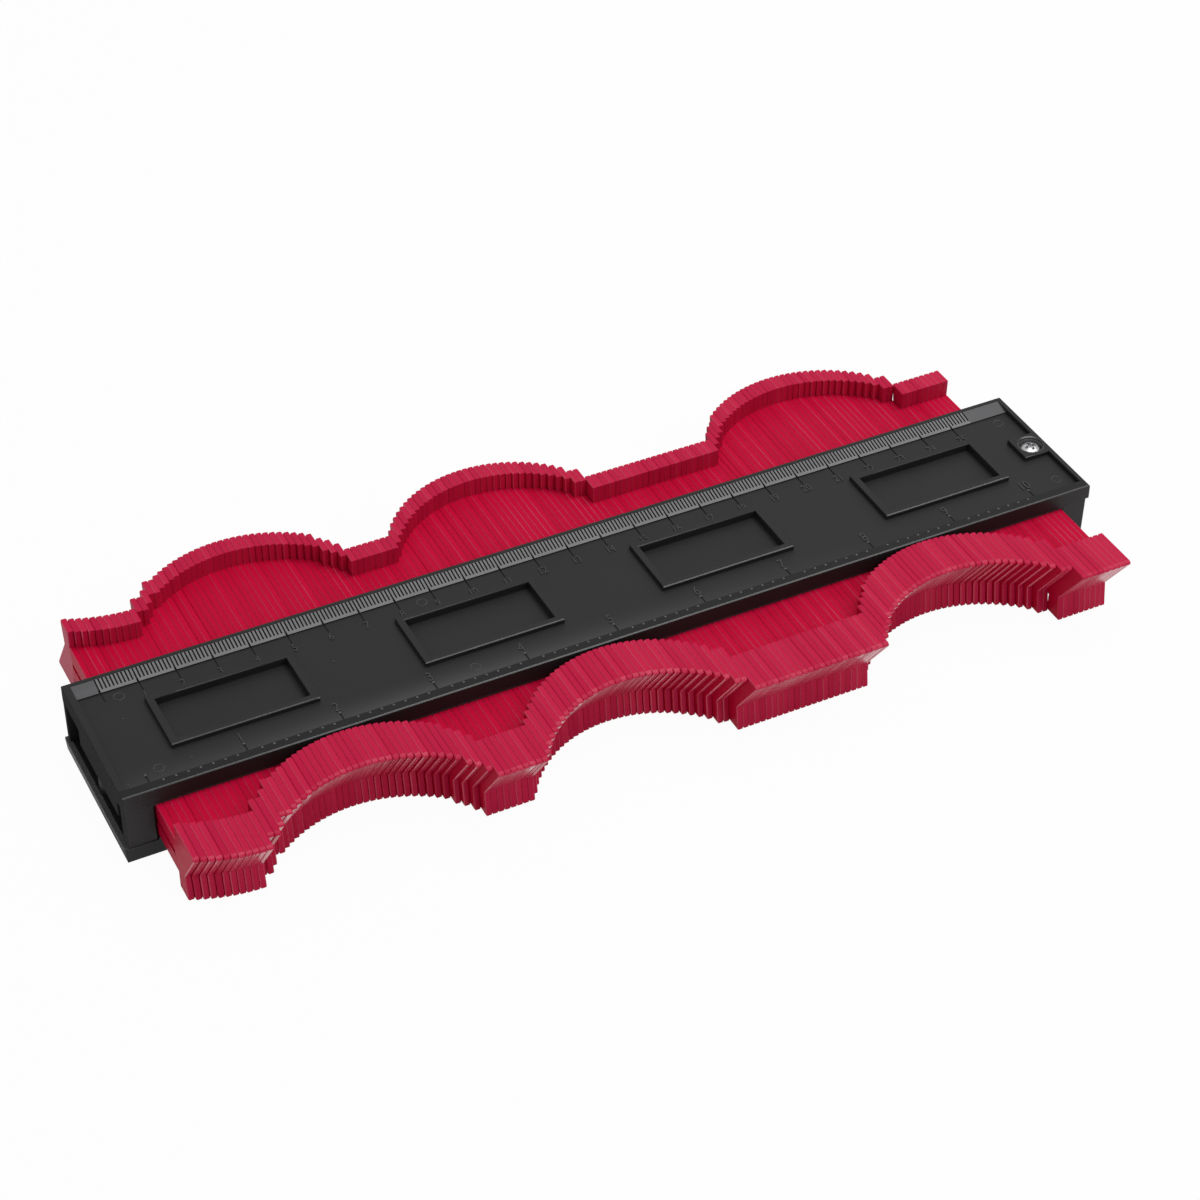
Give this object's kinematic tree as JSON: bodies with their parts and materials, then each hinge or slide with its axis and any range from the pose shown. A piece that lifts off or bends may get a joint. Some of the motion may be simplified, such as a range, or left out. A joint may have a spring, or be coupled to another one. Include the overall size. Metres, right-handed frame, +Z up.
{
  "type": "contour gauge",
  "caption": "Contour gauge: a flat ruled case of two screwed halves with a row of thin hooked fingers that slide through it and copy the outline they are pressed on.",
  "frame": {"origin": "middle of the case's underside, on the plane that it rests on", "axes": "+X along the case towards the end with the upper screw, +Y across the case towards the centimetre edge, along the fingers, +Z up"},
  "size_m": [0.279, 0.1221, 0.0214],
  "materials": {
    "case_plastic": "black moulded plastic, fine matt grain, slightly polished edges",
    "finger_plastic": "crimson moulded plastic, satin gloss",
    "friction_felt": "dense grey felt",
    "zinc_steel": "bright zinc plate"
  },
  "bodies": {
    "case": {"upper_shell": "case_plastic", "lower_shell": "case_plastic", "upper_friction_strip": "friction_felt", "lower_friction_strip": "friction_felt", "case_screws": "zinc_steel"},
    "finger_bank_01": {"finger_bank_01": "finger_plastic"},
    "finger_bank_02": {"finger_bank_02": "finger_plastic"},
    "finger_bank_03": {"finger_bank_03": "finger_plastic"},
    "finger_bank_04": {"finger_bank_04": "finger_plastic"},
    "finger_bank_05": {"finger_bank_05": "finger_plastic"},
    "finger_bank_06": {"finger_bank_06": "finger_plastic"},
    "finger_bank_07": {"finger_bank_07": "finger_plastic"},
    "finger_bank_08": {"finger_bank_08": "finger_plastic"},
    "finger_bank_09": {"finger_bank_09": "finger_plastic"},
    "finger_bank_10": {"finger_bank_10": "finger_plastic"},
    "finger_bank_11": {"finger_bank_11": "finger_plastic"},
    "finger_bank_12": {"finger_bank_12": "finger_plastic"},
    "finger_bank_13": {"finger_bank_13": "finger_plastic"},
    "finger_bank_14": {"finger_bank_14": "finger_plastic"},
    "finger_bank_15": {"finger_bank_15": "finger_plastic"},
    "finger_bank_16": {"finger_bank_16": "finger_plastic"},
    "finger_bank_17": {"finger_bank_17": "finger_plastic"},
    "finger_bank_18": {"finger_bank_18": "finger_plastic"},
    "finger_bank_19": {"finger_bank_19": "finger_plastic"},
    "finger_bank_20": {"finger_bank_20": "finger_plastic"},
    "finger_bank_21": {"finger_bank_21": "finger_plastic"},
    "finger_bank_22": {"finger_bank_22": "finger_plastic"},
    "finger_bank_23": {"finger_bank_23": "finger_plastic"},
    "finger_bank_24": {"finger_bank_24": "finger_plastic"},
    "finger_bank_25": {"finger_bank_25": "finger_plastic"},
    "finger_bank_26": {"finger_bank_26": "finger_plastic"},
    "finger_bank_27": {"finger_bank_27": "finger_plastic"},
    "finger_bank_28": {"finger_bank_28": "finger_plastic"},
    "finger_bank_29": {"finger_bank_29": "finger_plastic"},
    "finger_bank_30": {"finger_bank_30": "finger_plastic"},
    "finger_bank_31": {"finger_bank_31": "finger_plastic"},
    "finger_bank_32": {"finger_bank_32": "finger_plastic"},
    "finger_bank_33": {"finger_bank_33": "finger_plastic"},
    "finger_bank_34": {"finger_bank_34": "finger_plastic"},
    "finger_bank_35": {"finger_bank_35": "finger_plastic"},
    "finger_bank_36": {"finger_bank_36": "finger_plastic"},
    "finger_bank_37": {"finger_bank_37": "finger_plastic"},
    "finger_bank_38": {"finger_bank_38": "finger_plastic"},
    "finger_bank_39": {"finger_bank_39": "finger_plastic"},
    "finger_bank_40": {"finger_bank_40": "finger_plastic"},
    "finger_bank_41": {"finger_bank_41": "finger_plastic"},
    "finger_bank_42": {"finger_bank_42": "finger_plastic"},
    "finger_bank_43": {"finger_bank_43": "finger_plastic"},
    "finger_bank_44": {"finger_bank_44": "finger_plastic"},
    "finger_bank_45": {"finger_bank_45": "finger_plastic"},
    "finger_bank_46": {"finger_bank_46": "finger_plastic"},
    "finger_bank_47": {"finger_bank_47": "finger_plastic"},
    "finger_bank_48": {"finger_bank_48": "finger_plastic"},
    "finger_bank_49": {"finger_bank_49": "finger_plastic"},
    "finger_bank_50": {"finger_bank_50": "finger_plastic"},
    "finger_bank_51": {"finger_bank_51": "finger_plastic"},
    "finger_bank_52": {"finger_bank_52": "finger_plastic"}
  },
  "joints": [
    {"name": "bank_01_slide", "type": "slide", "parent": "case", "child": "finger_bank_01", "axis": [0, 1, 0], "range_m": [-0.0174, 0.0128]},
    {"name": "bank_02_slide", "type": "slide", "parent": "case", "child": "finger_bank_02", "axis": [0, 1, 0], "range_m": [-0.01586, 0.01479]},
    {"name": "bank_03_slide", "type": "slide", "parent": "case", "child": "finger_bank_03", "axis": [0, 1, 0], "range_m": [-0.015, 0.0161]},
    {"name": "bank_04_slide", "type": "slide", "parent": "case", "child": "finger_bank_04", "axis": [0, 1, 0], "range_m": [-0.0148, 0.0129]},
    {"name": "bank_05_slide", "type": "slide", "parent": "case", "child": "finger_bank_05", "axis": [0, 1, 0], "range_m": [-0.0185, 0.0077]},
    {"name": "bank_06_slide", "type": "slide", "parent": "case", "child": "finger_bank_06", "axis": [0, 1, 0], "range_m": [-0.02379, 0.0055]},
    {"name": "bank_07_slide", "type": "slide", "parent": "case", "child": "finger_bank_07", "axis": [0, 1, 0], "range_m": [-0.02706, 0.00296]},
    {"name": "bank_08_slide", "type": "slide", "parent": "case", "child": "finger_bank_08", "axis": [0, 1, 0], "range_m": [-0.02927, 0.00135]},
    {"name": "bank_09_slide", "type": "slide", "parent": "case", "child": "finger_bank_09", "axis": [0, 1, 0], "range_m": [-0.0306, 0.00054]},
    {"name": "bank_10_slide", "type": "slide", "parent": "case", "child": "finger_bank_10", "axis": [0, 1, 0], "range_m": [-0.03114, 0.0004]},
    {"name": "bank_11_slide", "type": "slide", "parent": "case", "child": "finger_bank_11", "axis": [0, 1, 0], "range_m": [-0.03049, 0.00059]},
    {"name": "bank_12_slide", "type": "slide", "parent": "case", "child": "finger_bank_12", "axis": [0, 1, 0], "range_m": [-0.02906, 0.0015]},
    {"name": "bank_13_slide", "type": "slide", "parent": "case", "child": "finger_bank_13", "axis": [0, 1, 0], "range_m": [-0.02675, 0.00321]},
    {"name": "bank_14_slide", "type": "slide", "parent": "case", "child": "finger_bank_14", "axis": [0, 1, 0], "range_m": [-0.02333, 0.00585]},
    {"name": "bank_15_slide", "type": "slide", "parent": "case", "child": "finger_bank_15", "axis": [0, 1, 0], "range_m": [-0.0164, 0.011]},
    {"name": "bank_16_slide", "type": "slide", "parent": "case", "child": "finger_bank_16", "axis": [0, 1, 0], "range_m": [-0.0133, 0.0183]},
    {"name": "bank_17_slide", "type": "slide", "parent": "case", "child": "finger_bank_17", "axis": [0, 1, 0], "range_m": [-0.0133, 0.0183]},
    {"name": "bank_18_slide", "type": "slide", "parent": "case", "child": "finger_bank_18", "axis": [0, 1, 0], "range_m": [-0.0133, 0.0163]},
    {"name": "bank_19_slide", "type": "slide", "parent": "case", "child": "finger_bank_19", "axis": [0, 1, 0], "range_m": [-0.0179, 0.00994]},
    {"name": "bank_20_slide", "type": "slide", "parent": "case", "child": "finger_bank_20", "axis": [0, 1, 0], "range_m": [-0.02319, 0.0059]},
    {"name": "bank_21_slide", "type": "slide", "parent": "case", "child": "finger_bank_21", "axis": [0, 1, 0], "range_m": [-0.02673, 0.00321]},
    {"name": "bank_22_slide", "type": "slide", "parent": "case", "child": "finger_bank_22", "axis": [0, 1, 0], "range_m": [-0.02905, 0.00153]},
    {"name": "bank_23_slide", "type": "slide", "parent": "case", "child": "finger_bank_23", "axis": [0, 1, 0], "range_m": [-0.03043, 0.00071]},
    {"name": "bank_24_slide", "type": "slide", "parent": "case", "child": "finger_bank_24", "axis": [0, 1, 0], "range_m": [-0.03091, 0.00061]},
    {"name": "bank_25_slide", "type": "slide", "parent": "case", "child": "finger_bank_25", "axis": [0, 1, 0], "range_m": [-0.03015, 0.00085]},
    {"name": "bank_26_slide", "type": "slide", "parent": "case", "child": "finger_bank_26", "axis": [0, 1, 0], "range_m": [-0.02853, 0.00189]},
    {"name": "bank_27_slide", "type": "slide", "parent": "case", "child": "finger_bank_27", "axis": [0, 1, 0], "range_m": [-0.02591, 0.00382]},
    {"name": "bank_28_slide", "type": "slide", "parent": "case", "child": "finger_bank_28", "axis": [0, 1, 0], "range_m": [-0.02197, 0.00683]},
    {"name": "bank_29_slide", "type": "slide", "parent": "case", "child": "finger_bank_29", "axis": [0, 1, 0], "range_m": [-0.0175, 0.01135]},
    {"name": "bank_30_slide", "type": "slide", "parent": "case", "child": "finger_bank_30", "axis": [0, 1, 0], "range_m": [-0.0133, 0.0183]},
    {"name": "bank_31_slide", "type": "slide", "parent": "case", "child": "finger_bank_31", "axis": [0, 1, 0], "range_m": [-0.0133, 0.0183]},
    {"name": "bank_32_slide", "type": "slide", "parent": "case", "child": "finger_bank_32", "axis": [0, 1, 0], "range_m": [-0.0133, 0.0183]},
    {"name": "bank_33_slide", "type": "slide", "parent": "case", "child": "finger_bank_33", "axis": [0, 1, 0], "range_m": [-0.0133, 0.0183]},
    {"name": "bank_34_slide", "type": "slide", "parent": "case", "child": "finger_bank_34", "axis": [0, 1, 0], "range_m": [-0.0133, 0.0183]},
    {"name": "bank_35_slide", "type": "slide", "parent": "case", "child": "finger_bank_35", "axis": [0, 1, 0], "range_m": [-0.0133, 0.0183]},
    {"name": "bank_36_slide", "type": "slide", "parent": "case", "child": "finger_bank_36", "axis": [0, 1, 0], "range_m": [-0.0133, 0.0183]},
    {"name": "bank_37_slide", "type": "slide", "parent": "case", "child": "finger_bank_37", "axis": [0, 1, 0], "range_m": [-0.0133, 0.0154]},
    {"name": "bank_38_slide", "type": "slide", "parent": "case", "child": "finger_bank_38", "axis": [0, 1, 0], "range_m": [-0.0186, 0.00866]},
    {"name": "bank_39_slide", "type": "slide", "parent": "case", "child": "finger_bank_39", "axis": [0, 1, 0], "range_m": [-0.02427, 0.0051]},
    {"name": "bank_40_slide", "type": "slide", "parent": "case", "child": "finger_bank_40", "axis": [0, 1, 0], "range_m": [-0.02742, 0.00266]},
    {"name": "bank_41_slide", "type": "slide", "parent": "case", "child": "finger_bank_41", "axis": [0, 1, 0], "range_m": [-0.02955, 0.00111]},
    {"name": "bank_42_slide", "type": "slide", "parent": "case", "child": "finger_bank_42", "axis": [0, 1, 0], "range_m": [-0.03084, 0.00032]},
    {"name": "bank_43_slide", "type": "slide", "parent": "case", "child": "finger_bank_43", "axis": [0, 1, 0], "range_m": [-0.03134, 0.0002]},
    {"name": "bank_44_slide", "type": "slide", "parent": "case", "child": "finger_bank_44", "axis": [0, 1, 0], "range_m": [-0.03069, 0.0004]},
    {"name": "bank_45_slide", "type": "slide", "parent": "case", "child": "finger_bank_45", "axis": [0, 1, 0], "range_m": [-0.02927, 0.0013]},
    {"name": "bank_46_slide", "type": "slide", "parent": "case", "child": "finger_bank_46", "axis": [0, 1, 0], "range_m": [-0.027, 0.00298]},
    {"name": "bank_47_slide", "type": "slide", "parent": "case", "child": "finger_bank_47", "axis": [0, 1, 0], "range_m": [-0.02367, 0.00558]},
    {"name": "bank_48_slide", "type": "slide", "parent": "case", "child": "finger_bank_48", "axis": [0, 1, 0], "range_m": [-0.0181, 0.00935]},
    {"name": "bank_49_slide", "type": "slide", "parent": "case", "child": "finger_bank_49", "axis": [0, 1, 0], "range_m": [-0.0133, 0.0136]},
    {"name": "bank_50_slide", "type": "slide", "parent": "case", "child": "finger_bank_50", "axis": [0, 1, 0], "range_m": [-0.0133, 0.0183]},
    {"name": "bank_51_slide", "type": "slide", "parent": "case", "child": "finger_bank_51", "axis": [0, 1, 0], "range_m": [-0.0133, 0.0183]},
    {"name": "bank_52_slide", "type": "slide", "parent": "case", "child": "finger_bank_52", "axis": [0, 1, 0], "range_m": [-0.0133, 0.0183]}
  ]
}
